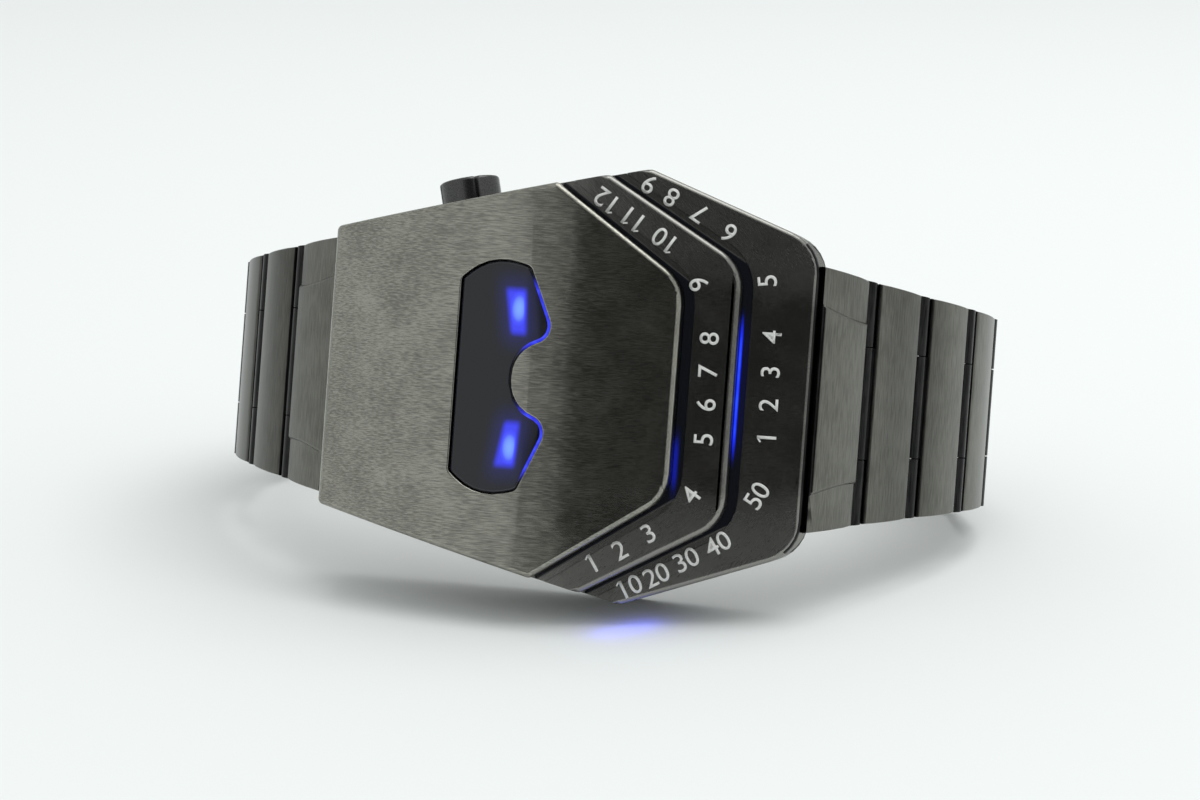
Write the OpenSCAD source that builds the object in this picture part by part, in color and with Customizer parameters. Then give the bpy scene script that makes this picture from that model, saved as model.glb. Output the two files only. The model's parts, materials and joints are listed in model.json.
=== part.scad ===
// Digital wrist watch: a stepped case in three tiers, lit by light guides, on a wide link bracelet.
// Inside the modules x runs along the bracelet, y across it towards the push button, and z out
// of the dial, with the crest of the head plate at z = 0. Only the last module turns the watch
// to the way it stands: on its side edge, leaning back on the clasp, with the dial facing -Y.

/* [Case outline] */
// Left end of the case from the middle
case_left = 23.3; // [22.8:0.1:24.3]
// Half height of the case at its left end
left_half = 13.6; // [13.2:0.1:14.4]
// Half height of the case at its widest point
apex_half = 20.9; // [20:0.1:21.5]
// Place of the widest point of the lowest tier
deck_apex = 7.4; // [6.8:0.1:8]
// Right end of the lowest tier
deck_end = 23.7; // [23.4:0.1:24.2]
// Half height of the lowest tier at its right end
deck_end_half = 14.8; // [14.4:0.1:15.2]
// Place of the widest point of the hour tier
hour_apex = 3.7; // [3.2:0.1:4.2]
// Right end of the hour tier
hour_end = 16.8; // [16.3:0.1:17.2]
// Half height of the hour tier at its right end
hour_end_half = 12.3; // [12:0.1:12.6]
// Place of the widest point of the head plate
head_apex = -0.9; // [-1.4:0.1:-0.5]
// Right end of the head plate
head_end = 11.7; // [11.3:0.1:12]
// Half height of the head plate at its right end
head_end_half = 10.2; // [9.9:0.1:10.5]
// Radius of the four right-hand corners of each tier
corner_r = 4.2; // [3:0.1:4.6]
// Radius of the small corners at the widest points and the left end
apex_r = 0.6; // [0.3:0.1:1]

/* [Case height] */
// Radius of the crowned faces
crown_r = 88; // [82:1:100]
// Place of the crest along the bracelet
crest_x = -4; // [-5:0.5:-3]
// Drop from the head plate to the hour tier
hour_drop = 1.55; // [1.45:0.05:1.6]
// Drop from the head plate to the lowest tier
deck_drop = 2.8; // [2.75:0.05:2.9]
// Thickness of the deck under the tiers
deck_t = 1.6; // [1.5:0.05:1.65]
// Depth of the case rim below the crest
rim_depth = 12.35; // [12.2:0.05:12.6]
// How far the case back stands proud of the rim
back_proud = 0.15; // [0.1:0.05:0.3]
// Thickness of the side walls
wall_t = 1.9; // [1.8:0.05:2]

/* [Eye window] */
// Left edge of the window from the middle
eye_left = 9.65; // [9.2:0.05:10]
// Half height of the window
eye_half = 11.25; // [11:0.05:11.5]
// How far the lens lies below the head plate
lens_sink = 0.35; // [0.25:0.05:0.45]
// Thickness of the lens
lens_t = 1.1; // [0.9:0.05:1.1]
// Width of the ledge that carries the lens
lens_ledge = 0.6; // [0.4:0.05:0.65]
// Distance of each light bar from the middle
light_bar_y = 6.4; // [6.3:0.1:6.6]
// Length of each light bar
light_bar_l = 4; // [3.4:0.1:4]

/* [Light guides] */
// Width of a light guide
guide_w = 0.9; // [0.7:0.05:1]
// Height of a light guide
guide_t = 0.6; // [0.5:0.05:0.65]
// How far a light guide lies below its tier
guide_sink = 0.15; // [0.1:0.05:0.2]
// Radius of the pegs that lead the light up
peg_r = 0.4; // [0.3:0.05:0.45]
// Distance between neighbouring lamps
lamp_pitch = 3.2; // [3:0.05:3.3]

/* [Module] */
// Top of the circuit board below the crest
board_top = 7.75; // [7.7:0.05:7.85]
// Thickness of the circuit board
board_t = 0.6; // [0.5:0.05:0.7]
// Height of the small lamps
lamp_h = 0.45; // [0.35:0.05:0.5]
// Radius of the button cells
cell_r = 8; // [7:0.25:8.25]
// Thickness of the button cells
cell_t = 1.6; // [1.4:0.1:2]
// Thickness of the case back
back_t = 0.8; // [0.7:0.05:0.9]

/* [Push button] */
// Place of the button along the bracelet
button_x = -10.9; // [-11.5:0.1:-10]
// Depth of the button axis below the crest
button_depth = 6.6; // [6.5:0.05:6.7]
// Radius of the button cap
button_r = 2.95; // [2.6:0.05:3]
// How far the cap stands proud of the case
button_proud = 2.6; // [2.2:0.1:3]
// Travel of the button
button_travel = 0.65; // [0.4:0.05:0.65]
// Radius of the button stem
stem_r = 0.7; // [0.6:0.05:0.75]

/* [Bracelet] */
// Distance from hinge to hinge
pitch = 8.4; // [8.2:0.05:8.6]
// Width of the bracelet at the case
band_w = 25.8; // [25:0.1:26]
// Width of the bracelet at the clasp
clasp_w = 18.4; // [17.8:0.1:19]
// Outer face of a link from its hinge line, at the crown of the plate
link_out = 1.55; // [1.45:0.05:1.65]
// Inner face of a link from its hinge line
link_in = 1.25; // [1.2:0.05:1.35]
// How far the plate rises between its ends
plate_crown = 0.35; // [0.2:0.05:0.45]
// Half width of the groove between two plates
groove = 0.95; // [0.85:0.05:1.05]
// Radius of a hinge knuckle
knuckle_r = 1.15; // [1.05:0.05:1.2]
// Share of the width that the middle knuckle takes
knuckle_share = 0.46; // [0.4:0.01:0.5]
// Radius of a link pin
pin_r = 0.5; // [0.4:0.02:0.54]
// Depth of the clasp hinges below the crest
loop_depth = 52.5; // [52:0.1:53]
// Half width of the raised panel on an end link at the case
panel_half = 9.2; // [8.4:0.1:9.6]
// Half width of the raised panel at its far end
panel_end_half = 7.9; // [7.2:0.1:8.2]
// Rise of the panel on an end link
panel_rise = 0.25; // [0.1:0.05:0.35]

/* [Clasp] */
// Outer face of the clasp cover from its hinge line
cover_out = 2.1; // [2:0.05:2.3]
// Thickness of the cover plate and its walls
cover_t = 0.85; // [0.75:0.05:0.9]
// How far the cover walls reach in from the hinge line
cover_in = 1; // [0.9:0.05:1.2]
// Half width of the folding blades
blade_half = 6.3; // [5.8:0.1:6.4]
// Thickness of a folding blade
blade_t = 0.7; // [0.6:0.05:0.72]
// Radius of the clasp hinge pins
clasp_pin_r = 0.35; // [0.3:0.01:0.38]
// Radius of a release button
release_r = 1; // [0.8:0.05:1]
// Travel of a release button
release_travel = 0.5; // [0.3:0.05:0.5]

/* [Hidden] */
LINKS = 7;
SIDES = ["right", "left"];
function link_name(side, i) = i == 0 ? str("end_link_", side) : str("link_", side, "_", i);
function pin_name(side, i) = str("pin_", side, "_", i);
$fn = 48;

// Clearances
film = 0.04;            // between bonded faces
fit = 0.02;             // between a pin and the ears that grip it
run = 0.05;             // between a pin and what turns on it
side_room = 0.1;        // between knuckles, along the pin
turn_room = 0.12;       // round a knuckle that turns
slide_room = 0.06;      // round a sliding stem
board_room = 0.3;       // round the module
pin_sink = 0.15;        // how far the end of a pin lies in
FAR = 100;              // longer than anything

// Paths are lists of corners [x, y, radius], anticlockwise
function unit(v) = v / norm(v);
function xy(p) = [p[0], p[1]];
function before(path, i) = path[(i + len(path) - 1) % len(path)];
function after(path, i) = path[(i + 1) % len(path)];
function outward(a, b) = unit([b[1] - a[1], a[0] - b[0]]);
// The same path with every edge moved outwards
function moved(path, d) = [for (i = [0:len(path) - 1])
    let (a = outward(before(path, i), path[i]), b = outward(path[i], after(path, i)),
         c = xy(path[i]) + d * (a + b) / (1 + a * b))
    [c[0], c[1], max(0, path[i][2] + sign(cross(a, b)) * d)]];
// The points of one rounded corner
function corner(a, c, b, r) = r < 0.01 ? [c] :
    let (u = unit(a - c), v = unit(b - c), half = acos(u * v) / 2, middle = c + unit(u + v) * r / sin(half),
         from = c + u * r / tan(half) - middle, way = sign(cross(c - a, b - c)),
         steps = max(3, ceil((180 - 2 * half) / 12)))
    [for (k = [0:steps]) let (t = way * k / steps * (180 - 2 * half))
        middle + [from[0] * cos(t) - from[1] * sin(t), from[0] * sin(t) + from[1] * cos(t)]];
function rounded(path) = [for (i = [0:len(path) - 1])
    each corner(xy(before(path, i)), xy(path[i]), xy(after(path, i)), path[i][2])];
// A path given by its lower half, mirrored to the upper half
function mirrored(half) =
    concat(half, [for (i = [len(half) - 1:-1:0]) [half[i][0], -half[i][1], half[i][2]]]);

// Outlines of the tiers
side_slope = atan((apex_half - left_half) / (deck_apex + case_left));
function side_half(x) = left_half + (x + case_left) * tan(side_slope);
function tier(apex, end, half) = mirrored([[-case_left, -left_half, apex_r],
    [apex, -side_half(apex), apex_r], [end, -half, corner_r]]);
head_path = tier(head_apex, head_end, head_end_half);
hour_path = tier(hour_apex, hour_end, hour_end_half);
deck_path = tier(deck_apex, deck_end, deck_end_half);

// The mask-shaped window: a straight left side, a long arc above and below, two lobes with slanting
// fronts, and a round notch between them. Places are counted to the left of the middle.
eye_side_half = 9.3;            // half height of the straight left side
eye_arc = [6.73, 0.54, 5.4];    // the corner that the long arc rounds: place, past eye_half, radius
eye_brow = [2.8, 0.52, 0.9];    // the corner above a lobe: place, within eye_half, radius
eye_lobe = [-0.05, 4.15, 1.7];  // the corner that the lobe rounds: place, half height, radius
eye_notch = [4, 2.65, 3.5];     // the corners of the notch: place, half height, radius
eye_path = mirrored([[-eye_left, -eye_side_half, 0.6],
    [-eye_arc[0], -eye_half - eye_arc[1], eye_arc[2]], [-eye_brow[0], -eye_half + eye_brow[1], eye_brow[2]],
    [-eye_lobe[0], -eye_lobe[1], eye_lobe[2]], [-eye_notch[0], -eye_notch[1], eye_notch[2]]]);

// Spring bars, where the end links hang in the case
bar_x = 22.6;
bar_z = -9.2;
bar_r = 0.6;
bar_tip_r = 0.4;
bar_tip = 1.2;
lip_z = bar_z + knuckle_r + side_room;
bay_room = 0.25;

// The bracelet: hinge points of each side as [distance out, height], worked out from the lean of
// each link below the horizontal. The leans past the first two are drawn towards the vertical or
// away from it, all by one share, so that the last hinge comes to the depth of the loop.
right_line = [22.8, -7.9];
left_line = [23.9, -8.7];
right_lean = [58, 58, 62, 79, 108, 140, 171.1];
left_lean = [40, 45, 58, 84, 112, 140, 153.1];
set_links = 2;
function drawn(lean, share) =
    [for (i = [0:len(lean) - 1]) i < set_links ? lean[i] : 90 + (lean[i] - 90) * share];
function hinge_at(line, lean, i) = i == 0 ? line
    : hinge_at(line, lean, i - 1) + pitch * [cos(lean[i - 1]), -sin(lean[i - 1])];
// A larger share makes a shallower loop, so the share is found by halving
function share_for(line, lean, low = 0, high = 1.5, tries = 40) = let (middle = (low + high) / 2)
    tries == 0 ? middle : -hinge_at(line, drawn(lean, middle), LINKS)[1] > loop_depth
        ? share_for(line, lean, middle, high, tries - 1) : share_for(line, lean, low, middle, tries - 1);
right_drawn = drawn(right_lean, share_for(right_line, right_lean));
left_drawn = drawn(left_lean, share_for(left_line, left_lean));
function line_of(side) = side == "left" ? left_line : right_line;
function lean_of(side) = side == "left" ? left_drawn : right_drawn;
function hinge_of(side, i) = hinge_at(line_of(side), lean_of(side), i);
function half_w(i) = (clasp_w + (band_w - clasp_w) * pow(1 - i / LINKS, 2)) / 2;
function knuckle_half(i) = knuckle_share * half_w(i);
// The spring bar as a link of that side sees it: along the link and out of it
function bar_seen(side) = let (d = [bar_x, bar_z] - line_of(side), a = lean_of(side)[0])
    [d[0] * cos(a) - d[1] * sin(a), d[0] * sin(a) + d[1] * cos(a)];
end_plate_left = -0.5;          // where the plate of an end link starts, along it
end_plate_right = 0.8;
function plate_from(side) = side == "left" ? end_plate_left : end_plate_right;
plate_edge = link_out - plate_crown;
plate_r = (pow(pitch / 2 - groove, 2) + pow(plate_crown, 2)) / (2 * plate_crown);

// The clasp, from its hinge on the right to the open hinge on the left
clasp_l = hinge_of("right", LINKS)[0] + hinge_of("left", LINKS)[0];
cover_hinge_in = 3.2;           // from the open hinge back to the cover's hinge
cover_hinge_s = clasp_l - cover_hinge_in;
cover_hinge_h = 0.45;
cover_hinge_r = 0.6;
blade_hinge_s = 4.2;
blade_hinge_h = -0.05;
blade_hinge_r = 0.7;
outer_blade_h = 0.15;
inner_blade_h = -0.25;
clasp_half = clasp_w / 2;
cover_low = cover_out - cover_t;
cover_over = 0.5;               // how far the cover reaches past its hinge
wall_over = 0.8;
blade_over = 0.9;
riser_l = 1.7;
cover_l = cover_hinge_s + cover_over;
release_s = 12;
release_h = 0.05;
catch_half = 2.5;

// The well in the case, with pads left in its corners for the screws
end_web = 1.85;
well_reach = bar_x - knuckle_r - turn_room - end_web;
left_pad = [4.2, 4.2];
right_pad = [6, 3.6];
deck_slope = (apex_half - deck_end_half) / (deck_end - deck_apex);
function wall_y(x) = (x < deck_apex ? side_half(x) : apex_half - (x - deck_apex) * deck_slope) - wall_t;
well_r = 0.5;
well_path = mirrored([[-well_reach, -wall_y(-well_reach) + left_pad[1], well_r],
    [-well_reach + left_pad[0], -wall_y(-well_reach + left_pad[0]), well_r],
    [deck_apex, -wall_y(deck_apex), well_r],
    [well_reach - right_pad[0], -wall_y(well_reach - right_pad[0]), well_r],
    [well_reach, -wall_y(well_reach) + right_pad[1], well_r]]);
left_screw_in = [0.6, 0.6];     // from the corners of the well
right_screw_in = [0.4, 0.5];
screws = [for (y = [-1, 1])
    each [[-well_reach + left_screw_in[0], y * (wall_y(-well_reach) - left_screw_in[1])],
        [well_reach - right_screw_in[0], y * (wall_y(well_reach) - right_screw_in[1])]]];
screw_r = 0.5;
screw_head_r = 0.95;
screw_head_h = 0.45;
screw_l = 2.6;
screw_slot = 0.3;
back_z = -rim_depth - back_proud;
ledge_z = back_z + back_t;
seal_w = 0.45;
seal_h = 0.4;
seal_in = 0.15;
back_edge = 1.1;                // how far the case back reaches past the well, to the ends
back_side = 0.9;                // and to the sides
function back_corner(x) = [x, -wall_y(x) - back_side, well_r];
back_path = mirrored([back_corner(-well_reach - back_edge), back_corner(deck_apex),
    back_corner(well_reach + back_edge)]);

// Places of the lamps along one light guide: four on the right edge, one at each corner and some
// on each diagonal, from the corner outwards
guide_start = 0.3;
function guide_places(apex, end, half, shift, first, count, step) =
    let (out = guide_w / 2 + film, foot = [end, -half], way = unit([apex - end, half - side_half(apex)]),
         side = [-way[1], way[0]], bend = unit(side + [1, 0]),
         turn = foot + bend * (out - corner_r * (1 / bend[0] - 1)),
         low = [for (k = [0:count - 1]) foot + way * (first + k * step) + side * out])
    concat([for (k = [-1.5:1.5]) [end + out, k * lamp_pitch + shift]], [turn, [turn[0], -turn[1]]],
        low, [for (p = low) [p[0], -p[1]]]);
hour_first = 3.8;               // the first lamp after a corner
minute_first = 2.2;
minute_shift = 0.8;
minute_step = lamp_pitch - 0.5;
hour_places = guide_places(head_apex, head_end, head_end_half, 0, hour_first, 3, lamp_pitch);
minute_places = guide_places(hour_apex, hour_end, hour_end_half, minute_shift, minute_first, 4, minute_step);

// The push button stands square to the upper side wall
cap_room = 0.15;
button_pocket = 1;
button_gap = 0.05;
boss_r = 1.35;
boss_l = 3.2;
clip_t = 0.25;
stem_l = 4.3;
spring_wire = 0.14;
spring_coil = 1.6;
spring_turns = 4;
cap_floor = 1.2;
hollow_room = 0.5;              // round the spring
neck_sink = 0.25;               // depth of the clip's groove in the stem
ring_r = 0.22;                  // wire of the seal round the stem
ring_groove = [0.48, 0.54];     // its depth and its width
ring_in = wall_t - cap_room;    // where that groove starts

// How the watch stands: on the lower point of the case rim and the lower edge of the clasp
rest_tilt = atan((apex_half - clasp_half) / (loop_depth + cover_out - rim_depth));
lift = apex_half * cos(rest_tilt) + rim_depth * sin(rest_tilt);
function out_x(side, i) = let (a = lean_of(side)[i], p = hinge_of(side, i))
    max([for (q = [[groove, plate_edge], [pitch / 2, link_out], [pitch - groove, plate_edge]])
        p[0] + q[0] * cos(a) + q[1] * sin(a)]);
function reach(side) = max([for (i = [0:LINKS - 1]) out_x(side, i)]);
middle_x = (reach("right") - reach("left")) / 2;
front_y = -side_half(head_apex) * sin(rest_tilt);
back_y = clasp_half * sin(rest_tilt) + (loop_depth + cover_out) * cos(rest_tilt);

// Turns and sets the finished watch on the ground, in the middle
module stand() {
    translate([-middle_x, -(front_y + back_y) / 2, lift]) rotate([90 - rest_tilt, 0, 0]) children();
}

module prism(path, low, high) {
    translate([0, 0, low]) linear_extrude(high - low) polygon(rounded(path));
}

// All that lies below the crowned face which is this far below the crest
module under_crown(drop) {
    translate([crest_x, 0, -crown_r - drop]) rotate([90, 0, 0])
        cylinder(r = crown_r, h = FAR, center = true, $fn = 200);
}

// A crowned sheet between two drops
module sheet(path, top, bottom) {
    difference() {
        intersection() {
            prism(path, -rim_depth, 1);
            under_crown(top);
        }
        under_crown(bottom);
    }
}

module both() {
    children();
    mirror([0, 1, 0]) children();
}

// A block that stands in the middle of its base
module block(l, w, h) {
    translate([-l / 2, -w / 2, 0]) cube([l, w, h]);
}

// A round bar across the bracelet
module across(r, from, to) {
    translate([0, from, 0]) rotate([-90, 0, 0]) cylinder(r = r, h = to - from);
}

module pegs(places, r, low, high) {
    for (p = places) translate([p[0], p[1], low]) cylinder(r = r, h = high - low, $fn = 24);
}

// The band of a light guide round the tier above it, from that tier's widest point on
module guide_band(inner, apex, gap) {
    intersection() {
        difference() {
            prism(moved(inner, guide_w + film + gap), -rim_depth, 1);
            prism(moved(inner, film - gap), -rim_depth - 1, 2);
        }
        translate([apex + guide_start - gap, -FAR / 2, -rim_depth]) cube([FAR, FAR, FAR]);
    }
}

module light_guide(inner, apex, outer, drop, places) {
    difference() {
        intersection() {
            guide_band(inner, apex, 0);
            prism(outer, -rim_depth, 1);
            under_crown(drop + guide_sink);
        }
        under_crown(drop + guide_sink + guide_t);
    }
    intersection() {
        pegs(places, peg_r, -board_top + lamp_h + lamp_gap, 0);
        under_crown(drop + guide_sink + guide_t / 2);
    }
}

module guide_groove(inner, apex, drop) {
    difference() {
        guide_band(inner, apex, film);
        under_crown(drop + guide_sink + guide_t + film);
    }
}

module eye_lens() {
    color([0.1, 0.12, 0.2]) sheet(moved(eye_path, -film), lens_sink, lens_sink + lens_t);
}

module head_plate() {
    color([0.33, 0.33, 0.31]) difference() {
        sheet(head_path, 0, hour_drop);
        prism(eye_path, -rim_depth, 2);
    }
}

module hour_plate() {
    color([0.2, 0.2, 0.19]) difference() {
        sheet(hour_path, hour_drop + film, deck_drop);
        prism(moved(eye_path, -lens_ledge), -rim_depth, 2);
        guide_groove(head_path, head_apex, hour_drop);
        pegs(hour_places, peg_r + slide_room, -rim_depth, 2);
    }
}

// Left and right edge of a light bar at its outer and at its inner end
bar_outer = [-5.1, -3.15];
bar_inner = [-4.4, -2.85];
bar_gap = 0.15;
lamp_gap = 0.1;

module light_bar() {
    half = light_bar_l / 2;
    polygon([[bar_outer[0], half], [bar_inner[0], -half], [bar_inner[1], -half], [bar_outer[1], half]]);
}

module eye_light_bars() {
    color([0.3, 0.5, 1]) intersection() {
        for (y = [-1, 1]) translate([0, y * light_bar_y, -board_top + 2 * lamp_h + lamp_gap])
            linear_extrude(board_top) light_bar();
        under_crown(lens_sink + lens_t + bar_gap);
    }
}

module hour_light_guide() {
    color([0.1, 0.15, 0.4]) light_guide(head_path, head_apex, hour_path, hour_drop, hour_places);
}

module minute_light_guide() {
    color([0.1, 0.2, 0.9]) light_guide(hour_path, hour_apex, deck_path, deck_drop, minute_places);
}

// To the side of the watch, with the end link's own frame inside
module on_link(side, i) {
    p = hinge_of(side, i);
    mirror([side == "left" ? 1 : 0, 0, 0])
        translate([p[0], 0, p[1]]) rotate([0, lean_of(side)[i], 0]) children();
}

module at_bar(side) {
    translate([(side == "left" ? -1 : 1) * bar_x, 0, bar_z]) children();
}

// Room under the lip for one end link
module link_bay(side) {
    intersection() {
        on_link(side, 0) translate([-FAR / 4, -FAR / 2, -link_in - bay_room]) cube([FAR, FAR, FAR]);
        translate([-FAR / 2, -FAR / 2, lip_z - FAR]) cube([FAR, FAR, FAR]);
    }
}

module case_lugs(side) {
    at_bar(side) both() across(knuckle_r, knuckle_half(0) + side_room, half_w(0));
}

module on_button() {
    translate([button_x, side_half(button_x), -button_depth]) rotate([-90, 0, side_slope]) children();
}

module case_body() {
    color([0.2, 0.2, 0.19]) difference() {
        union() {
            difference() {
                intersection() {
                    prism(deck_path, -rim_depth, 1);
                    under_crown(deck_drop + film);
                }
                intersection() {
                    prism(well_path, -rim_depth - 1, 1);
                    under_crown(deck_drop + deck_t);
                }
                for (side = SIDES) link_bay(side);
            }
            for (side = SIDES) case_lugs(side);
            on_button() translate([0, 0, -boss_l]) cylinder(r = boss_r, h = boss_l - button_pocket);
        }
        // Seat of the case back and its seal
        prism(moved(back_path, film), -rim_depth - 1, ledge_z);
        difference() {
            prism(moved(well_path, seal_in + seal_w + film), ledge_z - 1, ledge_z + seal_h);
            prism(moved(well_path, seal_in - film), ledge_z - 1, ledge_z + seal_h + 1);
        }
        pegs(screws, screw_r + fit, ledge_z - 1, back_z + screw_l + seal_in);
        // Window, light guides and the pegs that feed them
        prism(moved(eye_path, -lens_ledge), -rim_depth, 2);
        guide_groove(hour_path, hour_apex, deck_drop);
        pegs(concat(hour_places, minute_places), peg_r + slide_room, -board_top, 2);
        // Spring bars
        for (side = SIDES) at_bar(side) {
            across(knuckle_r + turn_room, -knuckle_half(0) - side_room, knuckle_half(0) + side_room);
            bar_end = knuckle_half(0) + bar_tip;
            across(bar_tip_r + fit, -bar_end - 0.1, bar_end + 0.1);
        }
        // Push button
        on_button() {
            translate([0, 0, -button_pocket]) cylinder(r = button_r + cap_room, h = FAR / 10);
            translate([0, 0, -boss_l - 1]) cylinder(r = stem_r + slide_room, h = boss_l);
            translate([0, 0, -ring_in]) cylinder(r = stem_r + slide_room + ring_groove[0], h = ring_groove[1]);
        }
    }
}

module case_back() {
    color([0.45, 0.45, 0.44]) difference() {
        prism(back_path, back_z, ledge_z);
        pegs(screws, screw_r + slide_room, back_z - 1, ledge_z + 1);
        pegs(screws, screw_head_r + slide_room, back_z - 1, back_z + screw_head_h);
    }
}

module back_gasket() {
    color([0.05, 0.05, 0.05]) difference() {
        prism(moved(well_path, seal_in + seal_w), ledge_z + film, ledge_z + seal_h - film);
        prism(moved(well_path, seal_in), ledge_z - 1, ledge_z + 1);
    }
}

module back_screws() {
    color([0.6, 0.6, 0.58]) for (p = screws) translate([p[0], p[1], back_z]) difference() {
        union() {
            cylinder(r = screw_head_r, h = screw_head_h - film, $fn = 32);
            cylinder(r = screw_r, h = screw_l, $fn = 32);
        }
        translate([-screw_head_r - 1, -screw_slot / 2, -1])
            cube([2 * screw_head_r + 2, screw_slot, 1 + screw_head_h / 2]);
    }
}

board_path = moved(well_path, -board_room);
frame_top = -board_top - board_t - film;
stack_gap = 0.1;                // between the case back, the frame and the cells
frame_low = ledge_z + stack_gap;
cell_z = frame_low + stack_gap;
cells_middle = -1.5;            // place of the gap between the two cells
cells_gap = 1.3;
cell_x = [cells_middle - cells_gap / 2 - cell_r, cells_middle + cells_gap / 2 + cell_r];
cell_step = 0.8;                // from the rim of a cell to its smaller face
cell_face = 0.3;
clip_l = 12;
clip_w = 5.6;
strip_t = 0.2;
clip_room = 0.4;
post_l = 2;

module module_frame() {
    color([0.12, 0.12, 0.12]) difference() {
        prism(board_path, frame_low, frame_top);
        for (x = cell_x) translate([x, 0, cell_z - 1])
            cylinder(r = cell_r + stack_gap, h = cell_t + stack_gap + 1);
        translate([cells_middle - clip_l / 2 - clip_room, -clip_w / 2 - clip_room, frame_low])
            cube([clip_l + 2 * clip_room, clip_w + 2 * clip_room, FAR]);
    }
}

module button_cells() {
    color([0.75, 0.75, 0.73]) for (x = cell_x) translate([x, 0, cell_z]) {
        cylinder(r = cell_r, h = cell_t - cell_face);
        cylinder(r = cell_r - cell_step, h = cell_t);
    }
}

module cell_clip() {
    low = cell_z + cell_t + film;
    color([0.75, 0.65, 0.35]) translate([cells_middle, 0, low]) {
        block(clip_l, clip_w, strip_t);
        block(post_l, post_l, frame_top - low);
    }
}

module circuit_board() {
    color([0.05, 0.25, 0.12]) difference() {
        prism(board_path, -board_top - board_t, -board_top);
        on_button() translate([0, 0, -boss_l - side_room]) cylinder(r = boss_r + side_room, h = boss_l + 1);
    }
}

lamp_l = 0.6;
lamp_w = 0.8;

module number_lamps() {
    color([0.2, 0.4, 1]) for (p = concat(hour_places, minute_places))
        translate([p[0], p[1], -board_top]) block(lamp_l, lamp_w, lamp_h);
}

eye_lamp_x = (bar_outer[0] + bar_inner[1]) / 2;
eye_lamp_w = 1.2;
eye_lamp_short = 0.6;

module eye_lamps() {
    color([0.2, 0.4, 1]) for (y = [-1, 1])
        translate([eye_lamp_x, y * light_bar_y, -board_top])
            block(eye_lamp_w, light_bar_l - eye_lamp_short, 2 * lamp_h);
}

// The chip and the crystal, side by side on the left of the board
chip_at = [-14.5, -4];
chip_l = 5;
chip_h = 0.9;
can_y = 2;
can_r = 0.75;
can_l = 5;

module control_chip() {
    color([0.08, 0.08, 0.08]) translate([chip_at[0], chip_at[1], -board_top]) block(chip_l, chip_l, chip_h);
}

module quartz_crystal() {
    color([0.8, 0.8, 0.78]) translate([chip_at[0], 0, can_r - board_top]) across(can_r, can_y, can_y + can_l);
}

// The switch that the button presses, on the board
module side_switch() {
    key_r = 0.6;
    key_l = 0.3;
    body = [3.5, 5, 1.8];
    tall = 3;
    stem_end = stem_l + button_travel + side_room;
    color([0.7, 0.7, 0.68]) intersection() {
        on_button() {
            translate([0, 0, -stem_end - key_l]) cylinder(r = key_r, h = key_l);
            translate([-body[0] / 2, -body[1] / 2, -stem_end - key_l - body[2]]) cube(body);
        }
        translate([-FAR / 2, 0, -board_top]) cube([FAR, FAR, tall]);
    }
}

module case_spring_bars() {
    color([0.7, 0.7, 0.68]) for (side = SIDES) at_bar(side) {
        across(bar_r, -knuckle_half(0), knuckle_half(0));
        bar_end = knuckle_half(0) + bar_tip;
        across(bar_tip_r, -bar_end, bar_end);
    }
}

module push_button() {
    groove_w = 0.35;
    grooves = 4;
    groove_turn = 29;
    color([0.25, 0.25, 0.24]) on_button() difference() {
        union() {
            translate([0, 0, -button_pocket + button_travel + button_gap])
                cylinder(r = button_r, h = button_proud + button_pocket - button_travel - button_gap);
            translate([0, 0, -stem_l]) cylinder(r = stem_r, h = stem_l + cap_floor);
        }
        // The hollow for the spring
        difference() {
            translate([0, 0, -button_pocket])
                cylinder(r = spring_coil + hollow_room, h = button_pocket + cap_floor);
            translate([0, 0, -stem_l]) cylinder(r = stem_r, h = FAR);
        }
        for (k = [0:grooves - 1]) rotate([0, 0, groove_turn + 90 * k]) translate([0, button_r, -button_pocket])
            rotate([0, 0, 45]) translate([-groove_w / 2, -groove_w / 2, 0]) cube([groove_w, groove_w, FAR]);
        // The groove for the clip
        translate([0, 0, -boss_l - clip_t - button_gap - film]) difference() {
            cylinder(r = stem_r + 1, h = clip_t + 2 * film);
            translate([0, 0, -1]) cylinder(r = stem_r - neck_sink, h = 3);
        }
    }
}

// A wire wound into an open coil, as one tube
module button_spring() {
    low = -button_pocket + spring_wire + film;
    high = cap_floor - spring_wire - film;
    steps = 14 * spring_turns;
    edges = 6;
    points = [for (i = [0:steps]) let (a = 360 * spring_turns * i / steps, z = low + (high - low) * i / steps)
        for (k = [0:edges - 1]) let (b = 360 * k / edges, r = spring_coil + spring_wire * cos(b))
        [r * cos(a), r * sin(a), z + spring_wire * sin(b)]];
    faces = concat([[for (k = [0:edges - 1]) k]],
        [for (i = [0:steps - 1]) for (k = [0:edges - 1])
            let (a = i * edges + k, b = i * edges + (k + 1) % edges)
            each [[a, a + edges, b], [b, a + edges, b + edges]]],
        [[for (k = [edges - 1:-1:0]) steps * edges + k]]);
    color([0.7, 0.7, 0.68]) on_button() polyhedron(points, faces);
}

module button_gasket() {
    color([0.05, 0.05, 0.05]) on_button() translate([0, 0, -ring_in + ring_groove[1] / 2])
        rotate_extrude() translate([stem_r + slide_room / 2 + ring_r, 0]) circle(r = ring_r, $fn = 24);
}

module button_clip() {
    clip_mouth = 0.7;
    color([0.6, 0.6, 0.58]) on_button() translate([0, 0, -boss_l - clip_t - button_gap]) difference() {
        cylinder(r = boss_r - cap_room, h = clip_t);
        translate([0, 0, -1]) cylinder(r = stem_r - neck_sink + fit, h = 3);
        translate([-clip_mouth / 2, 0, -1]) cube([clip_mouth, 3, 3]);
    }
}

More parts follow.
